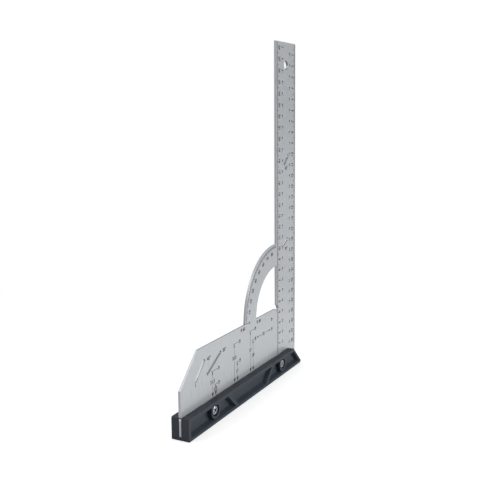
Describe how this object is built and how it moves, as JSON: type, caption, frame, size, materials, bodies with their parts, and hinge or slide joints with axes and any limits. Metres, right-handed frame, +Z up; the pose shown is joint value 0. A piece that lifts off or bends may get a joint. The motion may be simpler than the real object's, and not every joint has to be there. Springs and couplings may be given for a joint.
{
  "type": "universal angle gauge",
  "caption": "Flat metal marking square with a rule blade, a quarter protractor, marking slots and holes, held upright in a slotted plastic stock.",
  "frame": {"origin": "middle of the footprint, on the underside of the stock", "axes": "+Z up the blade, +X along the stock towards the blade end, -Y out of the graduated front"},
  "size_m": [0.2, 0.0154, 0.3033],
  "materials": {
    "plate": "anodised, satin",
    "stock": "moulded, fine satin",
    "zinc": "zinc plated"
  },
  "bodies": {
    "root": {"rule_plate": "plate", "stock": "stock", "clamp_screw_left": "zinc", "clamp_screw_right": "zinc", "clamp_nut_left": "zinc", "clamp_nut_right": "zinc"}
  },
  "joints": []
}
